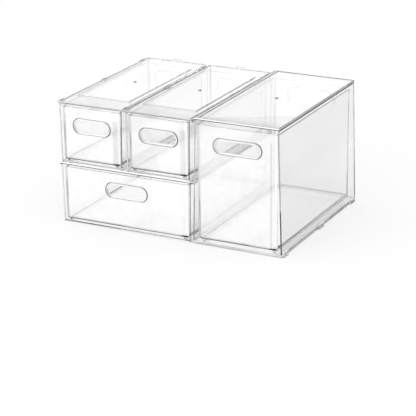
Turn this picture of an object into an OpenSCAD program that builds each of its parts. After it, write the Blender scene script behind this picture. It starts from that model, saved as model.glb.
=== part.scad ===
// Stackable drawer set in clear plastic: one wide low module, two small modules that
// stand on it, and one tall module beside the stack.
// Each module is a drafted casing shell, a snapped-on plate and a sliding drawer tray.
// Frame: X across the fronts, drawers pull towards -Y, Z up, base of the set at Z = 0.

/* [Modules] */
// Depth of every casing, front edge to back wall
case_depth = 257; // [180:1:340]
// Height of a low module, over its plate
low_height = 88.7; // [60:0.2:140]
// Height of the tall module, over its closed top
tall_height = 181.3; // [120:0.5:280]
// Width of a small casing over its walls, at its wide open edge
small_width = 99.6; // [80:0.2:160]
// Width of the tall casing over its walls, at its narrow closed top
tall_width = 124.5; // [90:0.5:200]
// Clear gap between the wide casing and the tall module's base lugs
module_gap = 1.6; // [0.5:0.1:20]
// Clear gap between the lugs of the two small modules
lug_gap = 0.4; // [0.2:0.1:4]

/* [Casings] */
// Thickness of the casing side and back walls
case_wall = 1.9; // [1.4:0.1:3]
// Draft of the low casings' side walls, degrees
low_draft = 0.8; // [0:0.1:2]
// Draft of the tall casing's side walls, degrees
tall_draft = 1.5; // [0:0.1:2.4]
// Thickness of the casing floor
floor_thick = 2; // [1.4:0.1:4]
// Height of the side skids below the casing floor
skid_height = 1.4; // [1.2:0.1:4]
// Thickness of the tall casing's closed top
top_thick = 3.6; // [2:0.1:6]
// Width of each runner rib that a drawer slides on
runner_width = 3; // [2:0.5:6]
// Height of the runner ribs on the floor of a low casing
runner_height = 2; // [0.4:0.1:3]
// Height of the runner ribs on the base plate of the tall module
tall_runner_height = 3.8; // [0.4:0.1:8]

/* [Plates] */
// Thickness of the top plates of the low modules
plate_thick = 3; // [2.5:0.1:6]
// Thickness of the tall module's base plate
base_thick = 4; // [2.5:0.1:6]
// How far each snap lug stands out from the casing wall
lug_out = 2.5; // [1.5:0.1:5]
// Length of each snap lug along the depth
lug_length = 16; // [8:1:24]
// How far each snap lug reaches past the plate along the casing wall
lug_reach = 3; // [1:0.5:8]
// Clearance between a lug and the casing wall behind it
lug_clear = 0.15; // [0.1:0.05:0.5]
// Centre of the front lugs behind the front edge
lug_front = 9; // [8:0.5:20]
// Centre of the rear lugs in front of the rear edge
lug_rear = 14; // [8:0.5:30]
// Margin of plate beside each raised stacking pad
pad_side = 8; // [6:0.5:20]
// Margin of plate in front of each stacking pad
pad_front = 36; // [10:1:60]
// Margin of plate behind each stacking pad
pad_rear = 33; // [10:1:60]
// Height of the stacking pads above the plate
pad_height = 0.8; // [0.4:0.1:1.2]
// Width of the stop tab on the rear edge of a top plate
tab_width = 14.5; // [6:0.5:30]
// Thickness of the stop tab
tab_thick = 2; // [1:0.1:4]
// Height of the stop tab above the plate
tab_height = 2; // [1:0.1:5]
// Clearance between the stop tab and the module that stands in front of it
tab_clear = 0.5; // [0.2:0.1:2]
// Diameter of the moulding gate mark at the centre of each top
gate_size = 4.5; // [2:0.1:8]
// How far the gate mark stands out
gate_height = 0.4; // [0.2:0.1:0.8]

/* [Drawers] */
// Depth of every drawer tray
drawer_depth = 241; // [150:1:320]
// How far the drawer fronts sit behind the casing's front edge
front_setback = 2.5; // [1:0.5:12]
// Wall and floor thickness of the drawer trays
drawer_wall = 2.4; // [1.6:0.1:4]
// Draft of the drawer side walls, degrees
drawer_draft = 0.2; // [0:0.1:1.5]
// Side clearance of a low drawer in its casing, where they come closest
low_clear = 2; // [0.4:0.1:4]
// Side clearance of the tall drawer in its casing, where they come closest
tall_clear = 0.5; // [0.4:0.1:4]
// Clearance above a low drawer's rim
low_headroom = 4; // [1.5:0.1:10]
// Clearance above the tall drawer's rim
tall_headroom = 7; // [1.5:0.1:12]
// Outer radius of the drawer's lower long edges
drawer_radius = 4.5; // [4:0.5:16]
// Height of the thickened rim round a drawer's top
rim_height = 3; // [1.5:0.1:6]
// How far the rim stands out from the drawer walls
rim_out = 0.5; // [0.2:0.1:1.5]

/* [Finger slots] */
// Clear height of every finger slot, inside its rolled lip
slot_height = 16; // [12:0.5:30]
// Clear width of the slot in a small drawer
small_slot_width = 53.4; // [30:0.2:70]
// Clear width of the slot in the wide drawer
wide_slot_width = 60; // [30:0.2:120]
// Clear width of the slot in the tall drawer
tall_slot_width = 66; // [30:0.2:90]
// Thickness of the rolled lip round each slot
lip_thick = 3.4; // [2.6:0.1:6]
// Depth of a small drawer's slot centre line below the module's top
small_slot_drop = 33.2; // [26:0.2:44]
// Depth of the wide drawer's slot centre line below the module's top
wide_slot_drop = 31.5; // [26:0.2:44]
// The same for the tall drawer
tall_slot_drop = 37.2; // [30:0.2:44]
// How much higher the slot in a drawer's back wall is than the one in its front
back_slot_rise = 6; // [0:0.5:8]

/* [Hidden] */
$fn = 64;
clear_plastic = [0.90, 0.93, 0.94, 0.35];
// Small overlap that welds features of one piece together
weld = 0.2;

// Heights and widths that follow from the driving sizes
shell_height = low_height - plate_thick;
small_half = small_width / 2;
pitch = small_width + 2 * lug_out + lug_gap;
wide_half = (pitch + small_width) / 2;
tall_half = tall_width / 2;
tall_base_half = tall_half + (tall_height - base_thick) * tan(tall_draft);
// Half width at the foot of a low casing whose open edge has the given half width
function foot_half(half) = half - shell_height * tan(low_draft);
// Seats of the drawers above each module's base
low_seat = skid_height + floor_thick + runner_height;
tall_seat = base_thick + tall_runner_height;
// Half widths of the drawers at their foot, set by the tightest place of each casing
small_drawer_half = foot_half(small_half) + low_seat * tan(low_draft)
    - case_wall - low_clear;
wide_drawer_half = foot_half(wide_half) + low_seat * tan(low_draft)
    - case_wall - low_clear;
low_drawer_height = shell_height - low_headroom - low_seat;
tall_drawer_height = tall_height - top_thick - tall_headroom - tall_seat;
tall_drawer_half = tall_half + (top_thick + tall_headroom) * tan(tall_draft)
    - case_wall - tall_clear - rim_out - tall_drawer_height * tan(drawer_draft);
// Places of the modules, with the set centred on the origin
wide_reach = wide_half + lug_out;
tall_reach = tall_base_half + lug_out;
set_width = wide_reach + foot_half(wide_half) + module_gap + 2 * tall_reach;
set_depth = case_depth + tab_clear + tab_thick;
front_y = -set_depth / 2;
wide_x = -set_width / 2 + wide_reach;
tall_x = set_width / 2 - tall_reach;
left_x = wide_x - pitch / 2;
middle_x = wide_x + pitch / 2;
lug_centres = [lug_front, case_depth / 2, case_depth - lug_rear];

// Extrudes a shape drawn in the XZ plane from y0 back to y1
module along_depth(y0, y1) {
    translate([0, y1, 0]) rotate([90, 0, 0]) linear_extrude(y1 - y0) children();
}

// Symmetric section in XZ, half widths at its foot and at its top
module taper(foot, top, z0, z1) {
    polygon([[-foot, z0], [foot, z0], [top, z1], [-top, z1]]);
}

// Casing of a low module: open at the front and the top, narrower at its foot
module low_case(half) {
    foot = foot_half(half);
    floor_z = skid_height + floor_thick;
    slope = tan(low_draft);
    rib_x = foot - case_wall - low_clear - drawer_radius - runner_width / 2;
    inner = foot - case_wall;
    along_depth(0, case_depth - case_wall) difference() {
        taper(foot, half, 0, shell_height);
        taper(inner + floor_z * slope, inner + (shell_height + weld) * slope,
              floor_z, shell_height + weld);
        taper(inner - weld * slope, inner + skid_height * slope, -weld, skid_height);
    }
    along_depth(case_depth - case_wall, case_depth) taper(foot, half, 0, shell_height);
    for (side = [-1, 1])
        translate([side * rib_x - runner_width / 2, front_setback, floor_z - weld])
            cube([runner_width, case_depth - case_wall - front_setback, runner_height + weld]);
}

// Casing of the tall module: open at the front and the bottom, wider at its foot
module tall_shell() {
    slope = tan(tall_draft);
    inner = tall_base_half - case_wall;
    ceiling_z = tall_height - top_thick;
    along_depth(0, case_depth - case_wall) difference() {
        taper(tall_base_half, tall_half, base_thick, tall_height);
        taper(inner + weld * slope, inner - (ceiling_z - base_thick) * slope,
              base_thick - weld, ceiling_z);
    }
    along_depth(case_depth - case_wall, case_depth)
        taper(tall_base_half, tall_half, base_thick, tall_height);
    gate_mark(tall_height);
}

// Moulding gate mark on a face at height z
module gate_mark(z) {
    translate([0, case_depth / 2, z - weld]) cylinder(d = gate_size, h = gate_height + weld);
}

// Snap lugs on both sides of a plate, reaching along the wall towards way (+1 up, -1 down)
module lugs(half, z0, thick, way) {
    hook_z = way > 0 ? z0 : z0 - lug_reach;
    for (y = lug_centres, side = [-1, 1]) {
        translate([side * (half + lug_out / 2 - weld / 2), y, z0 + thick / 2])
            cube([lug_out + weld, lug_length, thick], center = true);
        translate([side * (half + (lug_out + lug_clear) / 2), y,
                   hook_z + (thick + lug_reach) / 2])
            cube([lug_out - lug_clear, lug_length, thick + lug_reach], center = true);
    }
}

// Top plate of a low module, with one stacking pad per module that stands on it
module top_plate(half, pad_places) {
    pad_half = small_half - pad_side;
    translate([-half, 0, shell_height]) cube([2 * half, case_depth, plate_thick]);
    lugs(half, shell_height, plate_thick, -1);
    for (x = pad_places) {
        translate([x - pad_half, pad_front, low_height - weld])
            cube([2 * pad_half, case_depth - pad_front - pad_rear, pad_height + weld]);
        translate([x, 0, 0]) gate_mark(low_height + pad_height);
    }
    translate([-tab_width / 2, case_depth - weld, shell_height])
        cube([tab_width, tab_clear + tab_thick + weld, plate_thick]);
    translate([-tab_width / 2, case_depth + tab_clear, shell_height])
        cube([tab_width, tab_thick, plate_thick + tab_height]);
}

// Base plate of the tall module, with the runner ribs that carry its drawer
module base_plate() {
    rib_x = tall_drawer_half - drawer_radius - runner_width / 2;
    translate([-tall_base_half, 0, 0]) cube([2 * tall_base_half, case_depth, base_thick]);
    lugs(tall_base_half, 0, base_thick, 1);
    for (side = [-1, 1])
        translate([side * rib_x - runner_width / 2, front_setback, base_thick - weld])
            cube([runner_width, case_depth - case_wall - front_setback,
                  tall_runner_height + weld]);
}

// Section of a tray in XZ: drafted sides and rounded lower corners
module tray_section(half, radius, z0, z1) {
    slope = tan(drawer_draft);
    taper(half, half + (z1 - z0 - radius) * slope, z0 + radius, z1);
    translate([-half + radius, z0]) square([2 * (half - radius), 2 * radius]);
    for (side = [-1, 1])
        translate([side * (half - radius), z0 + radius]) circle(r = radius);
}

// Stadium shape, width over its round ends
module stadium(width, height) {
    square([width - height, height], center = true);
    for (side = [-1, 1])
        translate([side * (width - height) / 2, 0]) circle(d = height);
}

// Rolled lip round a finger slot, centred on the panel's middle
module slot_lip(width) {
    ring = (slot_height + lip_thick) / 2;
    straight = width - slot_height;
    for (side = [-1, 1]) {
        translate([side * straight / 2, 0, 0]) rotate([90, side * 90, 0])
            rotate_extrude(angle = 180) translate([ring, 0]) circle(d = lip_thick);
        translate([0, 0, side * ring]) rotate([0, 90, 0])
            cylinder(d = lip_thick, h = straight, center = true);
    }
}

// Drawer tray: foot half width, seat height, tray height, slot width and slot height place
module drawer_tray(half, seat, height, slot_width, slot_z) {
    back = front_setback + drawer_depth;
    top = seat + height;
    rim_half = half + (height - drawer_radius) * tan(drawer_draft) + rim_out;
    slots = [[front_setback + drawer_wall / 2, slot_z],
             [back - drawer_wall / 2, slot_z + back_slot_rise]];
    difference() {
        union() {
            along_depth(front_setback, back) tray_section(half, drawer_radius, seat, top);
            translate([-rim_half, front_setback - rim_out, top - rim_height])
                cube([2 * rim_half, drawer_depth + 2 * rim_out, rim_height]);
        }
        along_depth(front_setback + drawer_wall, back - drawer_wall)
            tray_section(half - drawer_wall, drawer_radius - drawer_wall,
                         seat + drawer_wall, top + 1);
        for (place = slots)
            translate([0, place[0], place[1]]) along_depth(-drawer_wall, drawer_wall)
                stadium(slot_width + lip_thick, slot_height + lip_thick);
    }
    for (place = slots) translate([0, place[0], place[1]]) slot_lip(slot_width);
}

module wide_case() {
    color(clear_plastic) translate([wide_x, front_y, 0]) low_case(wide_half);
}

module wide_plate() {
    color(clear_plastic) translate([wide_x, front_y, 0])
        top_plate(wide_half, [-pitch / 2, pitch / 2]);
}

module wide_drawer() {
    color(clear_plastic) translate([wide_x, front_y, 0])
        drawer_tray(wide_drawer_half, low_seat, low_drawer_height, wide_slot_width,
                    low_height - wide_slot_drop);
}

module small_case() {
    low_case(small_half);
}

module small_plate() {
    top_plate(small_half, [0]);
}

module small_drawer() {
    drawer_tray(small_drawer_half, low_seat, low_drawer_height, small_slot_width,
                low_height - small_slot_drop);
}

module left_case() {
    color(clear_plastic) translate([left_x, front_y, low_height]) small_case();
}

module left_plate() {
    color(clear_plastic) translate([left_x, front_y, low_height]) small_plate();
}

module left_drawer() {
    color(clear_plastic) translate([left_x, front_y, low_height]) small_drawer();
}

module middle_case() {
    color(clear_plastic) translate([middle_x, front_y, low_height]) small_case();
}

module middle_plate() {
    color(clear_plastic) translate([middle_x, front_y, low_height]) small_plate();
}

module middle_drawer() {
    color(clear_plastic) translate([middle_x, front_y, low_height]) small_drawer();
}

module tall_case() {
    color(clear_plastic) translate([tall_x, front_y, 0]) tall_shell();
}

module tall_plate() {
    color(clear_plastic) translate([tall_x, front_y, 0]) base_plate();
}

module tall_drawer() {
    color(clear_plastic) translate([tall_x, front_y, 0])
        drawer_tray(tall_drawer_half, tall_seat, tall_drawer_height, tall_slot_width,
                    tall_height - tall_slot_drop);
}

wide_case();
wide_plate();
wide_drawer();
left_case();
left_plate();
left_drawer();
middle_case();
middle_plate();
middle_drawer();
tall_case();
tall_plate();
tall_drawer();
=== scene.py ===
"""Looks for the stackable drawer box: clear moulded plastic on a white studio floor."""

import bpy
from mathutils import Matrix, Vector


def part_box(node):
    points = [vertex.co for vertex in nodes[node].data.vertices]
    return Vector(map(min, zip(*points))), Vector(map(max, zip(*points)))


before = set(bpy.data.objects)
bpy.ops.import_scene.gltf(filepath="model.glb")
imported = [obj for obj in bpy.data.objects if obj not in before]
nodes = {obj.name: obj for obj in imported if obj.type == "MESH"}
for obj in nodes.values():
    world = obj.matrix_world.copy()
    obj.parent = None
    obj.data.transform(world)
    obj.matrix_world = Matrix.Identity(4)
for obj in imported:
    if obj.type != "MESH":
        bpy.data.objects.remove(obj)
scene = bpy.context.scene
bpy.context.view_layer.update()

# Lengths are in metres. Tones, and the depths of painted shade and painted highlights, run from 0
# to 1.

# Finger slots, as the drawers carry them: clear height, lip, and the rise of the back slot
SLOT_HEIGHT, SLOT_LIP, SLOT_RISE = 0.016, 0.0034, 0.006
# Reach of a slot lip's painted dark outer line, painted shade for the lip's dark refraction, from
# the slot's middle line
SLOT_LINE = SLOT_HEIGHT / 2 + SLOT_LIP - 0.0003
# Clear slot width of each drawer, and its centre's height above the tray's foot
SLOTS = {
    "wide_drawer": (0.060, 0.0518),
    "left_drawer": (0.0534, 0.0501),
    "middle_drawer": (0.0534, 0.0501),
    "tall_drawer": (0.066, 0.1363),
}
# Shade of each tray's right wall on its panel: how far in, half its width, and its tone
SHADES = {
    "wide_drawer": (0.0073, 0.0045, 0.03),
    "left_drawer": (0.0073, 0.0045, 0.22),
    "middle_drawer": (0.0073, 0.0045, 0.18),
    "tall_drawer": (0.0105, 0.0012, 0.22),
}
# A tray's rounded lower edge seen from its side, and its panel's depth with the slot's lip
TRAY_ROUND, PANEL_DEPTH = 0.0065, 0.006
# Reach of a mask that takes in one wall, from the piece's outer face
WALL_REACH = 0.0035
# Half a small top plate's width without its lugs, and the lugs' centres behind its front edge
PLATE_HALF = 0.0498
LUG_PLACES = (0.009, 0.1285, 0.243)
# Front edge and middle of every casing along Y
CASE_FRONT, CASE_MIDDLE = -0.12975, -0.00125
# Height of the tall casing's closed top, without its gate mark
TALL_TOP = 0.1813
# A small casing's skids with its floor, its whole height over the floor, and a top plate's lugs
CASE_BOTTOM, CASE_RISE, LUG_DROP = 0.0036, 0.0843, 0.003
# Places across the tall top, from its middle: the wall's end, a painted light line (painted
# highlight) and a painted dark crease line (painted shade)
WALL_END, LIGHT_LINE, CREASE = -0.0600, -0.0590, -0.0567
# A face looks along an axis when its normal's part along it is over this
FACING = 0.7

# Painted shade on a casing's side walls, as grey, left and right
LOW_WALL_SHADE, TALL_WALL_SHADE = (0.03, 0.03), (0.07, 0.14)
# Painted sheen on the front panels, as milkiness, and what it rises to at a panel's right end
PANEL_GLOSS, LOW_PANEL_END, TALL_PANEL_END = 0.36, 0.75, 0.65
# Painted highlights on the plates' front ends, as milkiness: small tops, wide top and tall base
SMALL_END, WIDE_END, BASE_END = 0.35, 0.8, 0.5

# Roughness where the plastic is clearest and cloudiest
ROUGH = (0.015, 0.065)
# Scale of the clouds and depth of the ripple
TRAY_SKIN, CASE_SKIN, PLATE_SKIN = (75.0, 0.00005), (60.0, 0.00004), (45.0, 0.00004)
# Scale of the ripple, index of refraction, and density of the smoke inside
RIPPLE_SCALE, BENDING, DENSITY = 22.0, 1.5, 6.0
# Colours that the plastic keeps per depth, and the near black of full painted shade and of a gate
# spot
SMOKE, THIN_SMOKE, BASE_SMOKE = (0.50, 0.51, 0.52), (0.62, 0.63, 0.64), (0.75, 0.75, 0.76)
CLEAR, SHADE_AND_GATE_DARK = (1, 1, 1, 1), (0.006, 0.006, 0.007, 1)
WHITE = (1, 1, 1, 1)


def material(name):
    """A new node material: returns it, its node tree and its output node, with no shader yet."""
    made = bpy.data.materials.new(name)
    made.use_nodes = True
    tree = made.node_tree
    tree.nodes.clear()
    return made, tree, tree.nodes.new("ShaderNodeOutputMaterial")


def add(tree, kind, **values):
    """A new node; in_NAME or in_NUMBER sets that input socket, and any other name a property."""
    node = tree.nodes.new(kind)
    for key, value in values.items():
        if key.startswith("in_"):
            label = key[3:]
            place = int(label) if label.isdigit() else label.replace("_", " ")
            node.inputs[place].default_value = value
        else:
            setattr(node, key, value)
    return node


def math(tree, kind, a, b=None):
    """A Math node on one or two values or sockets; gives its output socket."""
    node = tree.nodes.new("ShaderNodeMath")
    node.operation = kind
    for socket, value in zip(node.inputs, (a, b)):
        if value is None:
            continue
        if isinstance(value, (int, float)):
            socket.default_value = value
        else:
            tree.links.new(value, socket)
    return node.outputs[0]


def ramp_range(tree, value, low, high, to_low, to_high, smooth=True):
    """A clamped map of a socket from low..high to to_low..to_high."""
    node = add(tree, "ShaderNodeMapRange", in_1=low, in_2=high, in_3=to_low, in_4=to_high)
    if smooth:
        node.interpolation_type = "SMOOTHSTEP"
    tree.links.new(value, node.inputs[0])
    return node.outputs[0]


def band(tree, value, centre, half, soft=0.0002):
    """1 where a socket lies within half of centre, with soft flanks, and 0 elsewhere."""
    off = math(tree, "ABSOLUTE", math(tree, "SUBTRACT", value, centre))
    return ramp_range(tree, off, half, half + soft, 1.0, 0.0)


def both(tree, first, *others):
    """The product of masks and tones: what lies in all of them."""
    for other in others:
        first = math(tree, "MULTIPLY", first, other)
    return first


def most(tree, first, *others):
    """The strongest of masks and tones at each point."""
    for other in others:
        first = math(tree, "MAXIMUM", first, other)
    return first


def under(tree, value, limit):
    """1 where a socket is below limit."""
    return math(tree, "LESS_THAN", value, limit)


def over(tree, value, limit):
    """1 where a socket is above limit."""
    return math(tree, "GREATER_THAN", value, limit)


def distance(tree, a, b):
    """The length of a step of a one way and b the other."""
    squares = math(tree, "ADD", math(tree, "POWER", a, 2.0), math(tree, "POWER", b, 2.0))
    return math(tree, "SQRT", squares)


class Place:
    """Where a shaded point lies: its object coordinates, and the way its face looks.

    A wall's inner face counts as looking the same way as its outer one, where light leaves it.
    """

    def __init__(self, tree):
        self.tree = tree
        self.point = add(tree, "ShaderNodeTexCoord").outputs["Object"]
        split = add(tree, "ShaderNodeSeparateXYZ")
        tree.links.new(self.point, split.inputs[0])
        self.x, self.y, self.z = split.outputs
        facing = add(tree, "ShaderNodeSeparateXYZ")
        geometry = add(tree, "ShaderNodeNewGeometry")
        tree.links.new(geometry.outputs["True Normal"], facing.inputs[0])
        along_x, along_y, along_z = facing.outputs
        self.on_front = under(tree, along_y, -FACING)
        self.on_right = over(tree, along_x, FACING)
        self.on_top = over(tree, along_z, FACING)

    def across(self, middle):
        """The place along X, from the piece's middle."""
        return math(self.tree, "SUBTRACT", self.x, middle)


# Painted shade: each gives how dark a point is painted. These dark lines and greys stand in for the
# shade and dark refraction at edges, seams and walls; only the gate spots are marks of the plastic
# itself

def painted_slot_outline(at, centre_x, centre_z, straight, mid_y):
    """Painted shade: the dark outer line of a tray's rolled slot lips, darkest round its ends and
    faint at the back.
    """
    tree = at.tree
    back = over(tree, at.y, mid_y)
    drop = math(tree, "SUBTRACT", at.z, centre_z)
    drop = math(tree, "SUBTRACT", drop, math(tree, "MULTIPLY", back, SLOT_RISE))
    side = math(tree, "ABSOLUTE", at.across(centre_x))
    side = math(tree, "MAXIMUM", math(tree, "SUBTRACT", side, straight / 2), 0.0)
    line = band(tree, distance(tree, side, drop), SLOT_LINE, 0.0003, 0.0006)
    ends = ramp_range(tree, side, 0.0, 0.006, 0.6, 1.0)
    faint = math(tree, "SUBTRACT", 1.0, math(tree, "MULTIPLY", back, 0.72))
    return both(tree, line, ends, faint)


def tray_painted_shade(at, low, high, slot, shade, tall):
    """Painted shade on a tray: dark lines on its slot lips, its panel's lower edge and its side
    walls' lower edges, and its right wall's shade on the panel.
    """
    tree = at.tree
    # the panel's lower edge gets a painted dark line that thickens towards both ends
    right = band(tree, at.x, high.x - TRAY_ROUND, 0.0050, 0.0012)
    left = band(tree, at.x, low.x + 0.0022, 0.0016, 0.0008)
    ends = most(tree, right, left)
    front = under(tree, at.y, low.y + WALL_REACH)
    height = ramp_range(tree, ends, 0.0, 1.0, low.z + 0.0013, low.z + 0.0022)
    foot = both(tree, front, under(tree, at.z, height), ramp_range(tree, ends, 0.0, 1.0, 0.8, 1.0))
    floor_line = band(tree, at.z, low.z + 0.0014, 0.0011)
    edge = both(tree, over(tree, at.x, high.x - TRAY_ROUND), floor_line)
    # the shade lies on the panel's outer face: a strip on a low tray, a line on the tall one
    shade_in, shade_half, shade_tone = shade
    outer_face = under(tree, at.y, low.y + 0.0015)
    below_rim = under(tree, at.z, high.z - 0.012)
    strip = band(tree, at.x, high.x - shade_in, shade_half, 0.0004)
    cast = both(tree, outer_face, below_rim, strip, shade_tone)
    if tall:
        # on the tall tray, painted dark lines also run low along its left side and its back wall
        left_line = both(tree, under(tree, at.x, low.x + TRAY_ROUND), floor_line, 0.45)
        back_line = both(tree, over(tree, at.y, high.y - WALL_REACH),
                         band(tree, at.z, low.z + 0.0040, 0.0009, 0.0003), 0.7)
        edge = most(tree, edge, left_line, back_line)
    return most(tree, painted_slot_outline(at, *slot), foot, edge, cast)


def gate_spot(at, across, above):
    """The spot where a top was gated, higher than above."""
    tree = at.tree
    reach = distance(tree, across, math(tree, "SUBTRACT", at.y, CASE_MIDDLE))
    return both(tree, over(tree, at.z, above), ramp_range(tree, reach, 0.0022, 0.0030, 0.9, 0.0))


def plate_gate_and_painted_shade(at, low, middle):
    """A small top plate: its gate spot, and painted shade on the lugs' cores, the front strip (a
    painted reflection), the pad's sides and the front end's line.
    """
    tree = at.tree
    across = math(tree, "ABSOLUTE", at.across(middle))
    cores = most(tree, *(band(tree, at.y, low.y + lug, 0.0052, 0.0003) for lug in LUG_PLACES))
    cores = both(tree, cores, band(tree, across, PLATE_HALF + 0.0011, 0.0009))
    # painted reflection: a light grey over the front 35 mm of the top, which ends softly behind
    fade = ramp_range(tree, at.y, low.y + 0.0350, low.y + 0.0362, 0.13, 0.0)
    strip = both(tree, at.on_top, fade)
    pad_sides = both(tree, at.on_top, band(tree, across, PLATE_HALF - 0.0081, 0.0008, 0.0003),
                     band(tree, at.y, CASE_MIDDLE + 0.0015, 0.0940, 0.0003), 0.9)
    front_line = both(tree, at.on_front, band(tree, at.z, low.z + 0.0040, 0.0003), 0.8)
    return most(tree, gate_spot(at, across, low.z), cores, strip, pad_sides, front_line)


def wide_plate_painted_line(at, underside):
    """Painted shade: a dark line on the lower front edge of the wide top plate."""
    return both(at.tree, at.on_front, band(at.tree, at.z, underside, 0.0011), 0.9)


def base_painted_shade(at):
    """Painted shade on the tall base: grey on its sides, and dark lines on their lower edge and on
    its lower front edge.
    """
    tree = at.tree
    return most(tree, both(tree, at.on_right, 0.22),
                both(tree, at.on_right, band(tree, at.z, 0.0006, 0.0006), 0.8),
                both(tree, at.on_front, band(tree, at.z, 0.0, 0.0008), 0.6))


def painted_wall_shade(at, middle, left, right):
    """Painted shade: light grey on a casing's side walls, deeper towards the foot of the set."""
    return both(at.tree, at.on_right, ramp_range(at.tree, at.z, 0.02, 0.13, 1.3, 1.0),
                ramp_range(at.tree, at.x, middle - 0.01, middle + 0.01, left, right))


def painted_sill_line(at, floor_z):
    """Painted shade: a dark line on the lower front edge of a small casing's floor."""
    return both(at.tree, at.on_front, band(at.tree, at.z, floor_z + 0.0004, 0.0004), 0.6)


def slab_gate_and_painted_shade(at, top, middle):
    """The tall casing's closed top: painted dark lines on its edges and its crease, its gate spot,
    and a painted reflection as shade behind its front edge.
    """
    tree = at.tree
    across = at.across(middle)
    gate = gate_spot(at, across, top - 0.004)
    side_edges = most(tree, band(tree, at.z, top - 0.0037, 0.0011),
                      both(tree, band(tree, at.z, top, 0.0003), 0.5))
    front_edges = most(tree, both(tree, band(tree, at.z, top - 0.0033, 0.0006), 0.95),
                       both(tree, band(tree, at.z, top, 0.0004), 0.6))
    crease = both(tree, at.on_top, band(tree, across, CREASE, 0.0009, 0.0003))
    # the painted shade, a dark reflection, is a wedge between the front edge and a slanting line,
    # and fades backwards
    behind = math(tree, "SUBTRACT", at.y, CASE_FRONT)
    slant = both(tree, math(tree, "ADD", across, 0.0635), 0.52)
    inside = ramp_range(tree, math(tree, "SUBTRACT", slant, behind), 0.0, 0.004, 0.0, 1.0)
    fade = ramp_range(tree, behind, 0.0, 0.025, 0.32, 0.11, False)
    wedge = both(tree, at.on_top, inside, fade)
    return most(tree, gate, crease, wedge, both(tree, at.on_right, side_edges),
                both(tree, at.on_front, front_edges))


# Painted highlights: each gives how far the plastic loses its clearness and turns milky white,
# standing in for the bright gloss of its faces

def painted_panel_sheen(at, to_y, right_edge, end_depth):
    """Painted sheen: the gloss of a tray's front panel as milky white, thicker where the panel
    meets the right wall.
    """
    gloss = ramp_range(at.tree, at.x, right_edge - 0.0050, right_edge - 0.0030,
                       PANEL_GLOSS, end_depth)
    return both(at.tree, under(at.tree, at.y, to_y), at.on_front, gloss)


def painted_casing_sheen(at, low, bottom):
    """Painted highlights: the light front ends of a low casing's left wall and, up to bottom, of
    its floor, as milky white.
    """
    tree = at.tree
    left_wall = under(tree, at.x, low.x + WALL_REACH)
    ends = most(tree, left_wall, under(tree, at.z, low.z + bottom))
    return both(tree, at.on_front, ends, 0.45)


def painted_end_sheen(at, depth):
    """Painted highlight: the bright front end of a plate, as milky white."""
    return both(at.tree, at.on_front, depth)


def painted_slab_sheen(at, top, middle):
    """Painted highlights: the bright front ends of the tall casing's top and left wall, and its
    top's light line, as milky white.
    """
    tree = at.tree
    across = at.across(middle)
    slab = both(tree, band(tree, at.z, top - 0.0014, 0.0012), 0.75)
    wall = both(tree, under(tree, across, WALL_END), 0.25)
    line = both(tree, at.on_top, band(tree, across, LIGHT_LINE, 0.0007), 0.85)
    return most(tree, both(tree, at.on_front, most(tree, slab, wall)), line)


def clear_plastic(name, absorb, skin, shade_and_gate, painted_sheen):
    """Clear moulded plastic: refracting walls, cloudy gloss, a moulded face's slight ripple, with
    painted shade darkening its colour and painted highlights turning it milky white.
    """
    cloud_scale, ripple = skin
    made, tree, out = material("clear_" + name)
    link = tree.links.new
    shader = add(tree, "ShaderNodeBsdfPrincipled", in_Base_Color=CLEAR, in_IOR=BENDING,
                 in_Transmission_Weight=1.0)
    at = Place(tree)
    cloud = add(tree, "ShaderNodeTexNoise", in_Scale=cloud_scale, in_Detail=3.0)
    link(at.point, cloud.inputs["Vector"])
    link(ramp_range(tree, cloud.outputs["Fac"], 0.35, 0.7, *ROUGH), shader.inputs["Roughness"])
    wave = add(tree, "ShaderNodeTexNoise", in_Scale=RIPPLE_SCALE, in_Detail=1.0)
    link(at.point, wave.inputs["Vector"])
    bump = add(tree, "ShaderNodeBump", in_Strength=1.0, in_Distance=ripple)
    link(wave.outputs["Fac"], bump.inputs["Height"])
    link(bump.outputs["Normal"], shader.inputs["Normal"])
    # painted shade: the base colour darkens towards near black where the shade masks lie
    shade_mix = add(tree, "ShaderNodeMix", data_type="RGBA", in_6=CLEAR, in_7=SHADE_AND_GATE_DARK)
    link(shade_and_gate(at), shade_mix.inputs[0])
    link(shade_mix.outputs[2], shader.inputs["Base Color"])
    # painted highlight: the plastic turns milky white by the sheen mask's depth, a little less
    # where the clouds are low
    sheen_depth = both(tree, painted_sheen(at), ramp_range(tree, cloud.outputs["Fac"], 0.3, 0.7, 0.92, 1.0))
    link(math(tree, "SUBTRACT", 1.0, sheen_depth), shader.inputs["Transmission Weight"])
    inside = add(tree, "ShaderNodeVolumeAbsorption", in_Color=(*absorb, 1), in_Density=DENSITY)
    link(shader.outputs[0], out.inputs["Surface"])
    link(inside.outputs[0], out.inputs["Volume"])
    return made


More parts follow.
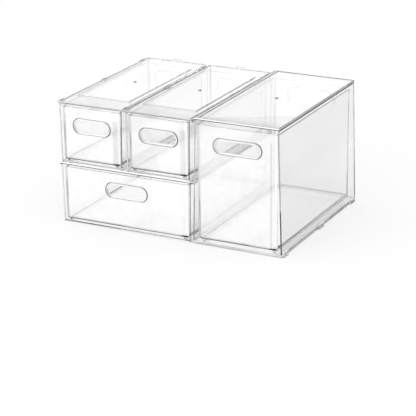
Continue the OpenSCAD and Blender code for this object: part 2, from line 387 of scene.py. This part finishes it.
def look_of(name):
    """The material of one node, with the painted shade and painted highlights of its kind of piece,
    and its gate spot where it has one.
    """
    low, high = (Vector(corner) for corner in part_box(name))
    middle = (low.x + high.x) / 2
    if name in SLOTS:
        width, lift = SLOTS[name]
        slot = (middle, low.z + lift, width - SLOT_HEIGHT, (low.y + high.y) / 2)
        tall = name == "tall_drawer"
        end_depth = TALL_PANEL_END if tall else LOW_PANEL_END
        return clear_plastic(
            name, SMOKE, TRAY_SKIN,
            lambda at: tray_painted_shade(at, low, high, slot, SHADES[name], tall),
            lambda at: painted_panel_sheen(at, low.y + PANEL_DEPTH, high.x, end_depth))
    if name == "tall_case":
        return clear_plastic(
            name, SMOKE, CASE_SKIN,
            lambda at: most(at.tree, painted_wall_shade(at, middle, *TALL_WALL_SHADE),
                            slab_gate_and_painted_shade(at, TALL_TOP, middle)),
            lambda at: painted_slab_sheen(at, TALL_TOP, middle))
    if name == "wide_case":
        return clear_plastic(
            name, THIN_SMOKE, CASE_SKIN,
            lambda at: painted_wall_shade(at, middle, *LOW_WALL_SHADE),
            lambda at: painted_casing_sheen(at, low, 0.0))
    if name.endswith("_case"):
        return clear_plastic(
            name, THIN_SMOKE, CASE_SKIN,
            lambda at: most(at.tree, painted_wall_shade(at, middle, *LOW_WALL_SHADE),
                            painted_sill_line(at, high.z - CASE_RISE)),
            lambda at: painted_casing_sheen(at, low, CASE_BOTTOM))
    if name == "tall_plate":
        return clear_plastic(name, BASE_SMOKE, PLATE_SKIN, base_painted_shade,
                             lambda at: painted_end_sheen(at, BASE_END))
    if name == "wide_plate":
        return clear_plastic(
            name, THIN_SMOKE, PLATE_SKIN,
            lambda at: wide_plate_painted_line(at, low.z + LUG_DROP),
            lambda at: painted_end_sheen(at, WIDE_END))
    return clear_plastic(
        name, THIN_SMOKE, PLATE_SKIN,
        lambda at: plate_gate_and_painted_shade(at, low, middle),
        lambda at: painted_end_sheen(at, SMALL_END))


for name, node in nodes.items():
    look = look_of(name)
    if node.material_slots:
        for holder in node.material_slots:
            holder.material = look
    else:
        node.data.materials.append(look)
    # the loaded faces don't share their corners, so these are joined before edges are rounded
    seams = node.modifiers.new("joined_seams", "WELD")
    seams.merge_threshold = 0.000001
    edges = node.modifiers.new("moulded_edges", "BEVEL")
    edges.width = 0.00035
    edges.segments = 2
    edges.limit_method = "ANGLE"
    edges.angle_limit = 0.7
    edges.harden_normals = False

# White floor that keeps a soft shadow
made, tree, out = material("studio_floor")
link = tree.links.new
lit = add(tree, "ShaderNodeBsdfDiffuse", in_Color=(0.88, 0.88, 0.88, 1))
glow = add(tree, "ShaderNodeEmission", in_Color=WHITE, in_Strength=1.0)
path = add(tree, "ShaderNodeLightPath")
seen = most(tree, both(tree, path.outputs["Is Camera Ray"], 0.75),
            both(tree, path.outputs["Is Transmission Ray"], 0.9),
            both(tree, path.outputs["Is Glossy Ray"], 0.9))
mix = add(tree, "ShaderNodeMixShader")
link(seen, mix.inputs[0])
link(lit.outputs[0], mix.inputs[1])
link(glow.outputs[0], mix.inputs[2])
link(mix.outputs[0], out.inputs["Surface"])
bpy.ops.mesh.primitive_circle_add(vertices=96, radius=9.0, fill_type="NGON",
                                  location=(0, 0, -0.0004))
floor = bpy.context.object
floor.name = "studio_floor"
floor.data.materials.append(made)

# Studio sky that pales with height, and plain white where the camera sees it
world = bpy.data.worlds.new("studio")
scene.world = world
world.use_nodes = True
tree = world.node_tree
tree.nodes.clear()
link = tree.links.new
direction = add(tree, "ShaderNodeTexCoord")
split = add(tree, "ShaderNodeSeparateXYZ")
link(direction.outputs["Generated"], split.inputs[0])
ramp = add(tree, "ShaderNodeValToRGB")
stops = ramp.color_ramp.elements
stops[0].position, stops[0].color = 0.0, (0.6, 0.6, 0.6, 1)
stops[1].position, stops[1].color = 0.30, WHITE
stops.new(0.12).color = (0.95, 0.95, 0.95, 1)
link(split.outputs["Z"], ramp.inputs[0])
sky = add(tree, "ShaderNodeBackground", in_Strength=1.12)
link(ramp.outputs[0], sky.inputs["Color"])
white = add(tree, "ShaderNodeBackground", in_Color=WHITE, in_Strength=1.0)
path = add(tree, "ShaderNodeLightPath")
mix = add(tree, "ShaderNodeMixShader")
link(path.outputs["Is Camera Ray"], mix.inputs[0])
link(sky.outputs[0], mix.inputs[1])
link(white.outputs[0], mix.inputs[2])
out = add(tree, "ShaderNodeOutputWorld")
link(mix.outputs[0], out.inputs["Surface"])

# Light goes through many clear walls, so its paths are long
scene.view_settings.view_transform = "Standard"
scene.cycles.max_bounces = 96
scene.cycles.transmission_bounces = 64
scene.cycles.glossy_bounces = 64
scene.cycles.transparent_max_bounces = 16

# One large soft lamp in front, for the moulded front panels
lamp = bpy.data.lights.new("front_softbox", "AREA")
lamp.shape = "SQUARE"
lamp.size = 2.2
lamp.energy = 23.0
softbox = bpy.data.objects.new("front_softbox", lamp)
scene.collection.objects.link(softbox)
softbox.location = (-0.7, -2.3, 1.1)
aim = Vector((0.0, -0.13, 0.09)) - softbox.location
softbox.rotation_euler = aim.to_track_quat("-Z", "Y").to_euler()

# Camera to the right of the set's front, looking down on it
lens = bpy.data.cameras.new("camera")
lens.sensor_width = 36.0
lens.lens = 151.412
lens.clip_start, lens.clip_end = 0.05, 50.0
camera = bpy.data.objects.new("camera", lens)
scene.collection.objects.link(camera)
right = Vector((0.892047, 0.451782, -0.012037))
up = Vector((-0.143707, 0.308803, 0.940207))
back = Vector((0.428486, -0.836979, 0.340391))
turn = Matrix((right, up, back)).transposed().to_4x4()
camera.matrix_world = Matrix.Translation((1.078078, -2.118035, 0.863347)) @ turn
scene.camera = camera
